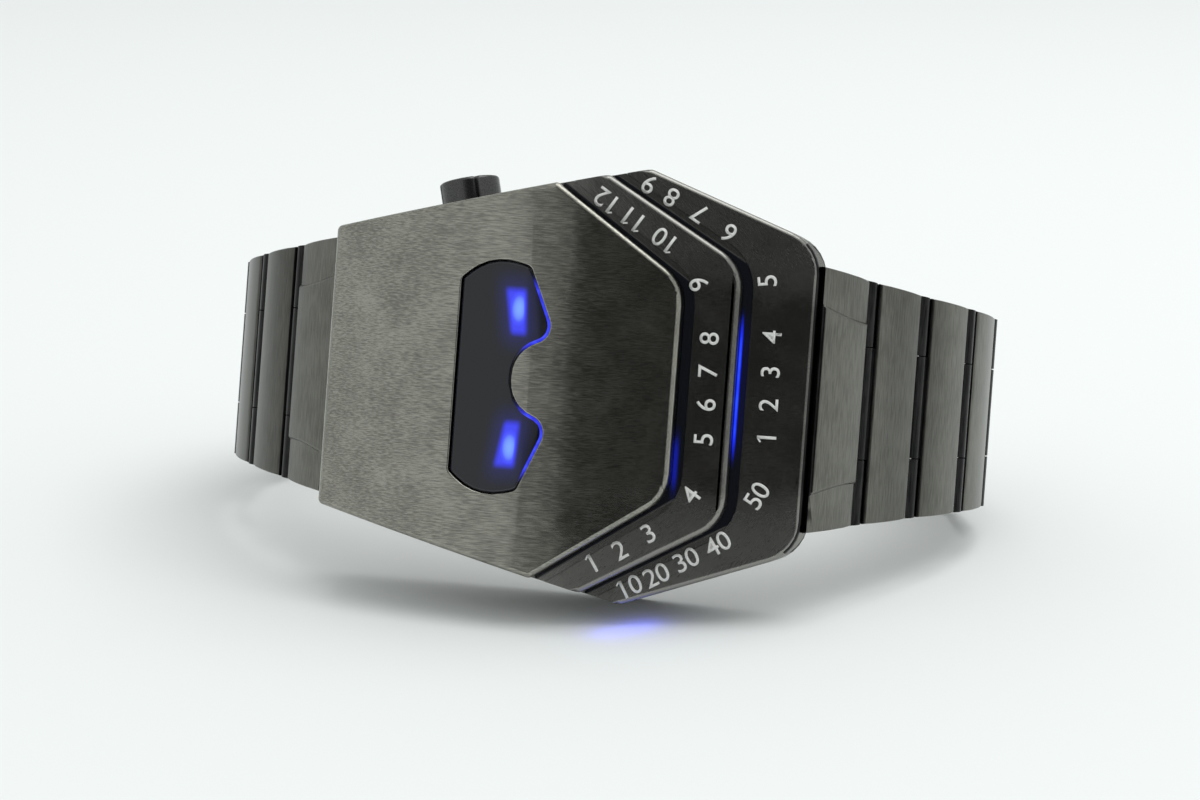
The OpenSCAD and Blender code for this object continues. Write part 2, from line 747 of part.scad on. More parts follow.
// The bracelet tapers, so each link's plan is a trapezium
module link_plan(i) {
    slope = (half_w(i + 1) - half_w(i)) / pitch;
    past = 3;
    from = half_w(i) - slope * past;
    to = half_w(i + 1) + slope * past;
    translate([0, 0, -FAR / 10]) linear_extrude(FAR / 5)
        polygon([[-past, -from], [pitch + past, -to], [pitch + past, to], [-past, from]]);
}

// A plate with a crowned outer face
module link_plate(i, from) {
    intersection() {
        translate([from, -half_w(i) - 1, -link_in])
            cube([pitch - groove - from, 2 * half_w(i) + 2, link_in + link_out]);
        translate([pitch / 2, 0, link_out - plate_r]) across(plate_r, -half_w(i) - 2, half_w(i) + 2);
    }
}

web_h = knuckle_r - 0.2;

module link(side, i) {
    first = i == 0;
    bar = first ? bar_seen(side) : [0, 0];
    web_low = max(bar[1] - web_h, -link_in);
    from = first ? plate_from(side) : groove;
    far_half = knuckle_half(i + 1) + side_room;
    color([0.42, 0.42, 0.4]) on_link(side, i) difference() {
        intersection() {
            link_plan(i);
            union() {
                link_plate(i, from);
                if (first) end_panel(from);
                // Middle knuckle towards the case
                translate([bar[0], 0, bar[1]]) across(knuckle_r, -knuckle_half(i), knuckle_half(i));
                translate([bar[0], -knuckle_half(i), web_low])
                    cube([from - bar[0] + 1, 2 * knuckle_half(i), bar[1] + web_h - web_low]);
                // Two ears away from the case
                translate([pitch, 0, 0]) both() {
                    across(knuckle_r, far_half, half_w(i));
                    translate([-groove - 1, far_half, -web_h]) cube([groove + 1, half_w(i), 2 * web_h]);
                }
            }
        }
        translate([bar[0], 0, bar[1]]) {
            both() across(knuckle_r + turn_room, knuckle_half(i), half_w(i) + 1);
            across((first ? bar_r : pin_r) + run, -knuckle_half(i) - 1, knuckle_half(i) + 1);
        }
        translate([pitch, 0, 0]) {
            across(knuckle_r + turn_room, -far_half, far_half);
            across(pin_r + fit, -half_w(i) - 1, half_w(i) + 1);
        }
    }
}

// The raised panel on an end link. It narrows away from the case, and its sides slope.
panel_slope_w = 0.5;
module end_panel(from) {
    narrowing = atan((panel_half - panel_end_half) / (pitch - groove - from));
    lean = atan(panel_slope_w / (plate_crown + panel_rise));
    intersection() {
        translate([0, 0, panel_rise]) link_plate(0, from);
        translate([from, 0, plate_edge]) between_slopes(panel_half, narrowing, lean);
        translate([0, -FAR / 2, 0]) cube([FAR, FAR, FAR]);
    }
}

// All between two planes that narrow and lean in
module between_slopes(half, narrowing, lean) {
    intersection() {
        translate([0, -half, 0]) rotate([0, 0, narrowing]) rotate([-lean, 0, 0])
            translate([-FAR / 2, 0, -FAR / 2]) cube([FAR, FAR, FAR]);
        translate([0, half, 0]) rotate([0, 0, -narrowing]) rotate([lean, 0, 0])
            translate([-FAR / 2, -FAR, -FAR / 2]) cube([FAR, FAR, FAR]);
    }
}

module link_pin(side, i) {
    half = half_w(i + 1) - pin_sink;
    color([0.6, 0.6, 0.58]) on_link(side, i) translate([pitch, 0, 0]) across(pin_r, -half, half);
}

// The clasp's frame: along it to the left, and out of it, from the last hinge on the right
module on_clasp() {
    p = hinge_of("right", LINKS);
    translate([p[0], 0, p[1]]) rotate([0, 180, 0]) children();
}

module clasp_cover() {
    half = knuckle_half(LINKS);
    color([0.42, 0.42, 0.4]) on_clasp() difference() {
        union() {
            translate([groove, -clasp_half, cover_low]) cube([cover_l - groove, clasp_w, cover_t]);
            both() translate([groove, clasp_half - cover_t, -cover_in])
                cube([cover_hinge_s + wall_over - groove, cover_t, cover_in + cover_low + 0.1]);
            across(knuckle_r, -half, half);
            translate([0, -half, -web_h]) cube([groove + 1.2, 2 * half, web_h + cover_low + 0.1]);
        }
        both() across(knuckle_r + turn_room, half, clasp_half + 1);
        across(pin_r + run, -half - 1, half + 1);
        translate([cover_hinge_s, 0, cover_hinge_h]) across(clasp_pin_r + fit, -clasp_half - 1, clasp_half + 1);
        translate([release_s, 0, release_h]) across(release_r + slide_room, -clasp_half - 1, clasp_half + 1);
        translate([0, -half, cover_out]) rotate([0, 45, 0]) cube([0.1, 2 * half, 0.1]);
    }
}

module outer_blade() {
    color([0.55, 0.55, 0.53]) on_clasp() difference() {
        union() {
            translate([blade_hinge_s, -blade_half, outer_blade_h])
                cube([cover_hinge_s - blade_hinge_s, 2 * blade_half, blade_t]);
            translate([cover_hinge_s, 0, cover_hinge_h]) across(cover_hinge_r, -blade_half, blade_half);
            translate([blade_hinge_s, 0, blade_hinge_h]) both()
                across(blade_hinge_r, catch_half + side_room, blade_half);
        }
        translate([cover_hinge_s, 0, cover_hinge_h]) across(clasp_pin_r + run, -FAR, FAR);
        translate([blade_hinge_s, 0, blade_hinge_h]) {
            across(clasp_pin_r + fit, -FAR, FAR);
            across(blade_hinge_r + side_room, -catch_half - side_room, catch_half + side_room);
        }
    }
}

module inner_blade() {
    neck = knuckle_half(LINKS) - side_room;
    tail_r = norm([cover_hinge_in, cover_hinge_h]) - pin_r - run;
    color([0.55, 0.55, 0.53]) on_clasp() difference() {
        union() {
            translate([blade_hinge_s, -blade_half, inner_blade_h - blade_t])
                cube([cover_hinge_s + blade_over - blade_hinge_s, 2 * blade_half, blade_t]);
            translate([cover_hinge_s, -neck, inner_blade_h - blade_t])
                cube([clasp_l - cover_hinge_s, 2 * neck, blade_t]);
            translate([clasp_l - riser_l, -neck, inner_blade_h - blade_t])
                cube([riser_l, 2 * neck, blade_t - inner_blade_h]);
            translate([blade_hinge_s, 0, blade_hinge_h]) across(blade_hinge_r, -catch_half, catch_half);
        }
        translate([blade_hinge_s, 0, blade_hinge_h]) {
            across(clasp_pin_r + run, -FAR, FAR);
            both() across(blade_hinge_r + side_room, catch_half, blade_half + 1);
        }
        // The end is round, about the cover's hinge, to swing clear of the last pin on the left
        difference() {
            translate([cover_hinge_s, -FAR / 2, -FAR / 2]) cube([FAR, FAR, FAR]);
            translate([cover_hinge_s, 0, cover_hinge_h]) across(tail_r, -FAR, FAR);
        }
    }
}

module cover_hinge_pin() {
    half = clasp_half - pin_sink;
    color([0.7, 0.7, 0.68]) on_clasp() translate([cover_hinge_s, 0, cover_hinge_h])
        across(clasp_pin_r, -half, half);
}

module blade_hinge_pin() {
    half = blade_half - pin_sink;
    color([0.7, 0.7, 0.68]) on_clasp() translate([blade_hinge_s, 0, blade_hinge_h])
        across(clasp_pin_r, -half, half);
}

release_head_t = 0.65;
release_rim = 0.15;
release_proud = 0.1;

module release_button() {
    inside = clasp_half - cover_t - film;
    translate([release_s, 0, release_h]) {
        across(release_r, inside - film, clasp_half + release_travel + release_proud);
        across(release_r + release_rim, inside - release_head_t, inside);
    }
}

module release_button_upper() {
    color([0.55, 0.55, 0.53]) on_clasp() release_button();
}

module release_button_lower() {
    color([0.55, 0.55, 0.53]) on_clasp() mirror([0, 1, 0]) release_button();
}

leaf_w = 2;
leaf_t = 0.2;
leaf_room = 0.1;

// A flat leaf under the cover plate that pushes both release buttons out
module release_spring() {
    half = clasp_half - cover_t - film - release_head_t - release_travel - button_gap;
    color([0.7, 0.7, 0.68]) on_clasp() translate([release_s - leaf_w / 2, -half, cover_low - leaf_room - leaf_t])
        cube([leaf_w, 2 * half, leaf_t]);
}

stand() case_body();
stand() hour_plate();
stand() head_plate();
stand() eye_lens();
stand() eye_light_bars();
stand() hour_light_guide();
stand() minute_light_guide();
stand() case_back();
stand() back_gasket();
stand() back_screws();
stand() module_frame();
stand() circuit_board();
stand() eye_lamps();
stand() number_lamps();
stand() control_chip();
stand() quartz_crystal();
stand() button_cells();
stand() cell_clip();
stand() side_switch();
stand() case_spring_bars();
stand() push_button();
stand() button_spring();
stand() button_gasket();
stand() button_clip();
stand() clasp_cover();
stand() outer_blade();
stand() inner_blade();
stand() cover_hinge_pin();
stand() blade_hinge_pin();
stand() release_button_upper();
stand() release_button_lower();
stand() release_spring();
for (side = SIDES) for (i = [0:LINKS - 1]) {
    stand() link(side, i);
    stand() link_pin(side, i);
}
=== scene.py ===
"""The looks of a digital wrist watch: a stepped steel case with lit guides on a wide link bracelet."""
import json
import math

import bmesh
import bpy
from mathutils import Matrix, Vector


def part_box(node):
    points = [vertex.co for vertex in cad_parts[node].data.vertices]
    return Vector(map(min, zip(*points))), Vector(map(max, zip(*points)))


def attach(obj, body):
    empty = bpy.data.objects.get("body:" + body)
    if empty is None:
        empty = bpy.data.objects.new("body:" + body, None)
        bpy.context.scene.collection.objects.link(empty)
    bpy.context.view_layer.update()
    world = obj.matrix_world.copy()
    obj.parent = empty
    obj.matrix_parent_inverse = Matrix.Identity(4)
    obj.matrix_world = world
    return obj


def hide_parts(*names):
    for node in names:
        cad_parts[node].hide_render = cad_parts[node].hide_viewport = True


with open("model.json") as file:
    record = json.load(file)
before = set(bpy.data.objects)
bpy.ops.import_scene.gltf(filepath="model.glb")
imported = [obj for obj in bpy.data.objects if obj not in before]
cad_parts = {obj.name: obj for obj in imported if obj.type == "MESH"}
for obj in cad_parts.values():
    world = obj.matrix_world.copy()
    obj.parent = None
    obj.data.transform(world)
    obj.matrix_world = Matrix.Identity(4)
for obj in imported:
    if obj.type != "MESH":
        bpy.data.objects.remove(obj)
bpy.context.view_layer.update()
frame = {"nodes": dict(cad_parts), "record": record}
MM = 0.001

# Where the watch stands, from the lean of a hinge and the back of its case
record = frame["record"]
joints = {j["name"]: j for j in record["behaviour"]["joints"]}
body_of = {n: b for b, nodes in record["behaviour"]["bodies"].items() for n in nodes}
slot_of = {s["node"]: s["material_slot"] for s in record["subparts"]}
hinge_axis = joints["end_link_left_hinge"]["axis"]
lean = math.atan2(hinge_axis[1], hinge_axis[2])
back_face = next(m for m in record["mounts"] if m["name"] == "case_back_face")["pos_m"]
BACK_DEPTH = 12.5                       # millimetres from the highest line of the dial to the back
upright = Matrix.Rotation(math.pi / 2 - lean, 4, "X")
stand = Matrix.Translation(Vector(back_face) - upright @ Vector((0, 0, -BACK_DEPTH * MM))) @ upright
settle = stand.inverted()

# Sizes of the dial in millimetres: x along the bracelet, y across it, z out of the dial
CROWN_R, CREST = 88.0, -4.0             # radius of the crowned faces, and their crest
HOUR_DROP, DECK_DROP = 1.59, 2.84       # how far the lower tiers lie below the head plate
CASE_LEFT, LEFT_HALF = 23.3, 13.6       # the left end, and half of its width
SIDE_SLOPE = 7.3 / 30.7                 # how fast the long sides spread from it
# Each tier: where it is widest, where its right end is, and half of the width it has there
HEAD = (-0.9, 11.7, 10.2)
HOUR = (3.7, 16.8, 12.3)
DECK = (7.4, 23.7, 14.8)
ON_CROWN = 0.03                         # a point this close to a crowned face is on it
# A face looks along an axis if its normal has more than FACING there, and is steep below STEEP in z
FACING, STEEP = 0.7, 0.3


def at(x, y, z):
    """A point of the watch, in metres where it stands."""
    return stand @ Vector((x * MM, y * MM, z * MM))


def crown(x, drop=0.0):
    """Height of a crowned face at a place along the bracelet."""
    return math.sqrt(CROWN_R**2 - (x - CREST) ** 2) - CROWN_R - drop


def side_half(x):
    """Half of the width between the long sides, at a place along the bracelet."""
    return LEFT_HALF + (x + CASE_LEFT) * SIDE_SLOPE


def slant_way(tier):
    """The direction of a tier's slanting edge, from where it is widest to its right end."""
    apex, end, half = tier
    return Vector((end - apex, half - side_half(apex))).normalized()


def inside(spot, tier):
    """How far a point lies inside the outline of a tier, its round corners not counted."""
    apex, end, _ = tier
    y = abs(spot.y)
    side = (side_half(spot.x) - y) * math.cos(math.atan(SIDE_SLOPE))
    way = slant_way(tier)
    slant = (Vector((apex, side_half(apex))) - Vector((spot.x, y))).dot(Vector((-way.y, way.x)))
    return min(side, slant, end - spot.x, spot.x + CASE_LEFT)


# Shader values and materials
class Wire:
    """A shader value that Python arithmetic works on."""

    def __init__(self, finish, socket):
        self.finish, self.socket = finish, socket

    def math(self, operation, *values):
        return self.finish.node("ShaderNodeMath", {"operation": operation}, values)

    def __add__(self, other):
        return self.math("ADD", self, other)

    def __sub__(self, other):
        return self.math("SUBTRACT", self, other)

    def __rsub__(self, other):
        return self.math("SUBTRACT", other, self)

    def __mul__(self, other):
        return self.math("MULTIPLY", self, other)

    def __truediv__(self, other):
        return self.math("DIVIDE", self, other)

    def __abs__(self):
        return self.math("ABSOLUTE", self)

    __radd__, __rmul__ = __add__, __mul__


class Finish:
    """One procedural material, built node by node."""

    def __init__(self, name, **base):
        self.material = bpy.data.materials.new(name)
        self.material.use_nodes = True
        self.tree = self.material.node_tree
        self.shader = self.tree.nodes["Principled BSDF"]
        for socket, value in base.items():
            self.set(socket.replace("_", " "), value)

    def feed(self, socket, value):
        """Links a shader value to a socket, or sets it. One number fills a socket that holds several."""
        if isinstance(value, Wire):
            self.tree.links.new(value.socket, socket)
        elif hasattr(socket.default_value, "__len__") and not hasattr(value, "__len__"):
            socket.default_value = [value] * len(socket.default_value)
        else:
            socket.default_value = value

    def set(self, socket, value):
        """One socket of the finish itself."""
        self.feed(self.shader.inputs[socket], value)

    def node(self, kind, settings=None, values=(), output=0):
        """Any node: its settings first, then the values or links of its sockets."""
        made = self.tree.nodes.new(kind)
        for key, value in (settings or {}).items():
            if key == "stops":
                ramp = made.color_ramp.elements
                while len(ramp) < len(value):
                    ramp.new(0.5)
                for stop, (place, colour) in zip(ramp, value):
                    stop.position, stop.color = place, (*colour, 1)
            else:
                setattr(made, key, value)
        pairs = values.items() if isinstance(values, dict) else enumerate(values)
        for key, value in pairs:
            self.feed(made.inputs[key], value)
        return Wire(self, made.outputs[output])

    def place(self):
        """The point on the watch, in millimetres."""
        raw = self.node("ShaderNodeTexCoord", output=3)
        moved = self.node("ShaderNodeVectorMath", {"operation": "SUBTRACT"}, (raw, stand.translation[:]))
        scaled = self.node("ShaderNodeVectorMath", {"operation": "MULTIPLY"}, (moved, (1 / MM,) * 3))
        sockets = {"Vector": scaled, "Rotation": (lean - math.pi / 2, 0, 0)}
        return self.node("ShaderNodeMapping", {}, sockets)

    def split(self, vector):
        """The three parts of a vector."""
        parted = self.node("ShaderNodeSeparateXYZ", {}, (vector,)).socket.node
        return [Wire(self, parted.outputs[i]) for i in range(3)]

    def noise(self, vector, scale, detail=3.0, roughness=0.5):
        sockets = {"Vector": vector, "Scale": scale, "Detail": detail, "Roughness": roughness}
        return self.node("ShaderNodeTexNoise", {}, sockets)

    def stretch(self, vector, factors, angle=0.0):
        """The vector turned about the dial's axis, then scaled along each axis."""
        sockets = {"Vector": vector, "Rotation": (0, 0, math.radians(angle))}
        turned = self.node("ShaderNodeMapping", {}, sockets)
        return self.node("ShaderNodeVectorMath", {"operation": "MULTIPLY"}, (turned, factors))

    def step(self, value, low, high):
        """0 below low, 1 above high, smooth between them."""
        sockets = {"Value": value, "From Min": low, "From Max": high}
        return self.node("ShaderNodeMapRange", {"interpolation_type": "SMOOTHSTEP"}, sockets)

    def mix(self, factor, first, second):
        """Between two colours, each a link or three numbers."""
        ends = [end if isinstance(end, Wire) else (*end, 1) for end in (first, second)]
        mixed = self.node("ShaderNodeMix", {"data_type": "RGBA"}, {0: factor, 6: ends[0], 7: ends[1]})
        return Wire(self, mixed.socket.node.outputs[2])

    def bump(self, height, distance):
        return self.node("ShaderNodeBump", {}, {"Height": height, "Distance": distance, "Strength": 1.0})


# Near black, painted onto the outer links as painted shade
PAINTED_SHADE = (0.02, 0.02, 0.018)


def brushed(name, dark, light, rough, lines, depth, spread=0.08, shade_mask=None):
    """Brushed steel. lines gives the height of the brushing at a point; the last argument, a mask, gives
    how far painted shade darkens it towards near black.
    """
    f = Finish(name, Metallic=1.0)
    place = f.place()
    grain = lines(f, place)
    cloud = f.noise(place, 0.25, 2.0)
    shade = f.step(grain * 0.75 + cloud * 0.25, 0.36, 0.64)
    colour = f.mix(shade, dark, light)
    # Painted shade: the colour goes towards near black where the mask is high
    if shade_mask:
        colour = f.mix(shade_mask(f, place), colour, PAINTED_SHADE)
    f.set("Base Color", colour)
    f.set("Roughness", rough - spread / 2 + grain * spread + (cloud - 0.5) * 0.05)
    f.set("Normal", f.bump(grain, depth))
    return f.material


def along(f, place):
    """Brushing along the bracelet."""
    return f.noise(f.stretch(place, (0.7, 11.0, 11.0)), 1.0, 4.0, 0.6)


def crosswise(f, place):
    """Brushing across the bracelet."""
    return f.noise(f.stretch(place, (9.0, 0.5, 9.0)), 1.0, 4.0, 0.6)


SLANT = 48                              # degrees of the brushing over the corners


def round_the_dial(f, place):
    """Brushing straight out over the right end and slanting over the corners, most on the lower one. The
    heavier grain there also paints the steel lighter: painted light, most on the lower corner.
    """
    _, y, _ = f.split(place)
    slanting = [f.noise(f.stretch(place, (0.7, 10.0, 10.0), turn), 1.0, 4.0, 0.6)
                for turn in (-SLANT, SLANT)]
    end = f.noise(f.stretch(place, (1.0, 10.0, 10.0)), 1.0, 4.0, 0.6)
    upper = f.step(y, -2.0, 2.0)
    slant = slanting[0] + (slanting[1] - slanting[0]) * upper
    corner = f.step(abs(y), 8.0, 14.0)
    lower = f.step(y, -8.0, -14.0)
    # Heavier grain on the corners: stronger brushing, and a lighter base colour as painted light
    return (end + (slant - end) * corner) * (0.8 + corner * 0.7 + lower * 0.8)


# Where the outer links are darkened with painted shade: from none of it to all of it, in millimetres along
# the bracelet
LEFT_SHADE, RIGHT_SHADE, RIGHT_UNSHADED = (-26.5, -32.0), (28.5, 31.0), (33.5, 35.5)
LOOP_TOP = (-30.0, -24.0)               # it fades out between these heights


def outer_links_shade(f, place):
    """How far painted shade darkens the outer links, more on the left."""
    x, _, z = f.split(place)
    left = f.step(x, *LEFT_SHADE) * 0.5
    right = f.step(x, *RIGHT_SHADE) * (1 - f.step(x, *RIGHT_UNSHADED)) * 0.3
    return (left + right) * f.step(z, *LOOP_TOP)


steel_head = brushed("steel_head", (0.17, 0.168, 0.148), (0.36, 0.354, 0.312), 0.17, along, 4.5e-6)
steel_tier = brushed("steel_tier", (0.12, 0.118, 0.11), (0.25, 0.245, 0.23), 0.24, round_the_dial, 3.5e-6)
steel_band = brushed("steel_band", (0.12, 0.118, 0.105), (0.185, 0.182, 0.163), 0.3, crosswise, 2.5e-6,
                     shade_mask=outer_links_shade)
# Near-black steel: painted shade on the knuckles between the links and on the wall under the deck's right
# end
painted_shade_steel = brushed("painted_shade_steel", (0.012, 0.012, 0.012), (0.03, 0.03, 0.029), 0.35, crosswise,
                        2.0e-6)
steel_clasp = brushed("steel_clasp", (0.2, 0.2, 0.19), (0.32, 0.32, 0.3), 0.28, crosswise, 2.0e-6)
steel_back = brushed("steel_back", (0.3, 0.3, 0.29), (0.45, 0.45, 0.43), 0.26, along, 2.0e-6)


def even_steel(name, dark, light, rough):
    """Satin steel with a fine, even grain."""
    f = Finish(name, Metallic=1.0)
    fine = f.noise(f.place(), 9.0, 4.0, 0.6)
    f.set("Base Color", f.mix(f.step(fine, 0.35, 0.65), dark, light))
    f.set("Roughness", rough - 0.04 + fine * 0.08)
    f.set("Normal", f.bump(fine, 2.0e-6))
    return f.material


steel_button = even_steel("steel_button", (0.06, 0.06, 0.06), (0.1, 0.1, 0.098), 0.28)
steel_pin = even_steel("steel_pin", (0.4, 0.4, 0.4), (0.55, 0.55, 0.54), 0.2)


def slant_distance(f, place, tier):
    """How far a point lies beyond the slanting edges of a tier."""
    apex = tier[0]
    x, y, _ = f.split(place)
    way = slant_way(tier)
    return (x - apex) * -way.y + (abs(y) - side_half(apex)) * way.x


# Beside a slanting edge a dark line gives way to the look of steel between these distances
DARK_LINE = (0.22, 0.5)
GUIDE_STEEL = ((0.1, 0.098, 0.09), (0.26, 0.255, 0.24))


def lit(name, base, rough, glow, stops, strength, coat=0.3, tier=None):
    """Glossy dark plastic that glows where glow, a value from 0 to 1, is high. Beside the slanting edges of
    tier it looks like the steel next to it, apart from a dark line at the edge."""
    f = Finish(name, Base_Color=(*base, 1), Coat_Weight=coat, Coat_Roughness=0.04,
               Emission_Strength=strength)
    place = f.place()
    smear = f.noise(place, 1.3, 3.0)
    f.set("Roughness", rough + (smear - 0.5) * 0.08)
    if tier:
        _, y, _ = f.split(place)
        corner = tier[2]
        slanting = f.step(abs(y), corner - 2.5, corner + 0.5)
        metal = f.step(slant_distance(f, place, tier), *DARK_LINE) * slanting
        grain = round_the_dial(f, place)
        f.set("Base Color", f.mix(metal, base, f.mix(grain, *GUIDE_STEEL)))
        f.set("Metallic", metal)
        f.set("Roughness", rough + metal * 0.1)
        f.set("Coat Weight", coat - metal * coat)
        f.set("Normal", f.bump(grain * metal, 3.5e-6))
    f.set("Emission Color", f.node("ShaderNodeValToRGB", {"stops": stops}, (glow(f, place),)))
    return f.material


BAR_X, BAR_Y = -3.9, 6.35               # the middle of each bar of light
BAR_HALF, BAR_LEAN = 2.3, -0.12         # half its length, and how it leans
BAR_THICK, BAR_TAPER = 0.86, 0.06       # half its width in the middle, and how it grows outwards
CORE_X, CORE_V = -3.75, 0.3             # its brightest point, the second value from its middle outwards
CORE_SIZE = (0.95, 1.7)                 # its reach in the same two directions


def window_glow(f, place):
    """Two tapered bars of light behind the window, each with a bright core and a faint halo."""
    x, y, _ = f.split(place)
    v = abs(y) - BAR_Y
    off = abs(x - (BAR_X + v * BAR_LEAN))
    half = BAR_THICK + v * BAR_TAPER
    bar = (1 - f.step(off - half, -0.34, 0.34)) * (1 - f.step(abs(v), BAR_HALF - 0.6, BAR_HALF + 0.3))
    core_x, core_v = (x - CORE_X) / CORE_SIZE[0], (v - CORE_V) / CORE_SIZE[1]
    core = 1 - f.step(core_x * core_x + core_v * core_v, -0.4, 1.2)
    halo = (1 - f.step(off, 0.3, 2.7)) * (1 - f.step(abs(v), 1.2, 4.6))
    return bar * 0.44 + core * bar * 0.5 + halo * 0.12


def rim_glow(f, place):
    """Light caught by the bevelled edge of the window beside each bar."""
    x, y, _ = f.split(place)
    beside = f.step(x, -4.2, -2.2) * (1 - f.step(abs(abs(y) - 5.9), 2.4, 4.2))
    sparkle = f.noise(place, 1.6, 2.0)
    return beside * (0.35 + sparkle * 0.5)


MINUTE_LINE, HOUR_LINE = 16.98, 11.9    # where the lit lines lie along the bracelet


def minute_glow(f, place):
    """A bright line close to the hour tier, along the middle of the right side."""
    x, y, _ = f.split(place)
    ripple = f.noise(f.stretch(place, (0, 0.5, 0)), 1.0, 1.0)
    line = 1 - f.step(abs(x - MINUTE_LINE), 0.03, 0.24)
    run = 1 - f.step(abs(y - 0.6), 3.5, 8.0)
    return line * run * (0.5 + ripple * 0.7) + run * 0.05


def hour_glow(f, place):
    """A faint line close to the head plate, below the middle."""
    x, y, _ = f.split(place)
    return (1 - f.step(abs(y + 7.0), 0.8, 4.0)) * (1 - f.step(abs(x - HOUR_LINE), 0.05, 0.5)) * 0.28


# Colour of the light from dark to bright
GLOW = [(0.0, (0, 0, 0)), (0.12, (0.004, 0.005, 0.08)), (0.5, (0.025, 0.03, 0.72)),
        (0.72, (0.05, 0.075, 1.0)), (1.0, (0.18, 0.36, 1.0))]
LINE = [(0.0, (0, 0, 0)), (0.1, (0.0005, 0.001, 0.03)), (0.6, (0.006, 0.018, 0.7)),
        (1.0, (0.02, 0.07, 1.0))]
lens_finish = lit("window_tint", (0.006, 0.007, 0.011), 0.12, window_glow, GLOW, 1.1, 0.0)
lens_rim = lit("window_rim", (0.01, 0.011, 0.02), 0.12, rim_glow, GLOW, 1.0)
minute_light = lit("minute_light", (0.004, 0.005, 0.009), 0.14, minute_glow, LINE, 1.3, tier=HOUR)
hour_light = lit("hour_light", (0.004, 0.005, 0.009), 0.14, hour_glow, LINE, 1.0, tier=HEAD)


def moulded(name, colour, rough, metallic=0.0, variation=0.2, scale=2.0):
    """Plastic, rubber or plain metal with a faint mottle."""
    f = Finish(name, Metallic=metallic)
    mottle = f.noise(f.place(), scale, 4.0)
    ends = [[c * (1 + sign * variation) for c in colour] for sign in (-1, 1)]
    f.set("Base Color", f.mix(f.step(mottle, 0.3, 0.7), *ends))
    f.set("Roughness", rough - 0.05 + mottle * 0.1)
    f.set("Normal", f.bump(mottle, 5.0e-6))
    return f.material


FINISH = {
    "case_steel": steel_tier,
    "band_steel": steel_band,
    "button_steel": steel_button,
    "clasp_steel": steel_clasp,
    "pin_steel": steel_pin,
    "back_steel": steel_back,
    "lens": lens_finish,
    "light_guide": lens_finish,
    "lamp": moulded("lamp", (0.05, 0.2, 0.8), 0.25),
    "seal_rubber": moulded("seal_rubber", (0.02, 0.02, 0.02), 0.7),
    "frame_plastic": moulded("frame_plastic", (0.05, 0.05, 0.05), 0.55),
    "board": moulded("board", (0.012, 0.12, 0.045), 0.4),
    "chip_plastic": moulded("chip_plastic", (0.02, 0.02, 0.02), 0.5),
    "cell_steel": moulded("cell_steel", (0.62, 0.62, 0.6), 0.25, 1.0),
    "contact_brass": moulded("contact_brass", (0.7, 0.52, 0.25), 0.3, 1.0),
}
ink = moulded("number_ink", (0.72, 0.72, 0.7), 0.5, 0.0, 0.06, 5.0)


def paint(thing, *materials):
    """Gives a piece these materials and no others."""
    thing.data.materials.clear()
    for material in materials:
        thing.data.materials.append(material)


for name, thing in frame["nodes"].items():
    paint(thing, FINISH[slot_of[name]])
paint(frame["nodes"]["minute_light_guide"], minute_light)
paint(frame["nodes"]["hour_light_guide"], hour_light)


# Pieces with eased edges, each in place of its plain solid
def only(thing):
    """Selects this one object and makes it active."""
    bpy.ops.object.select_all(action="DESELECT")
    thing.select_set(True)
    bpy.context.view_layer.objects.active = thing


MERGE = 2e-7                            # metres between corners that become one
# Angles between faces: merged up to FLAT, or up to NEARLY_FLAT beside an apex, shaded as one up to SMOOTH.
# The edge between them is rounded from SHARP on.
FLAT, NEARLY_FLAT = math.radians(0.35), math.radians(2)
SHARP, SMOOTH = math.radians(28), math.radians(50)
APEX_REACH, APEX_DEPTH = 0.8, 5.0       # how far from an apex and from the crest's height such edges end
EVERYWHERE = -99.0                      # left of and below all of the watch


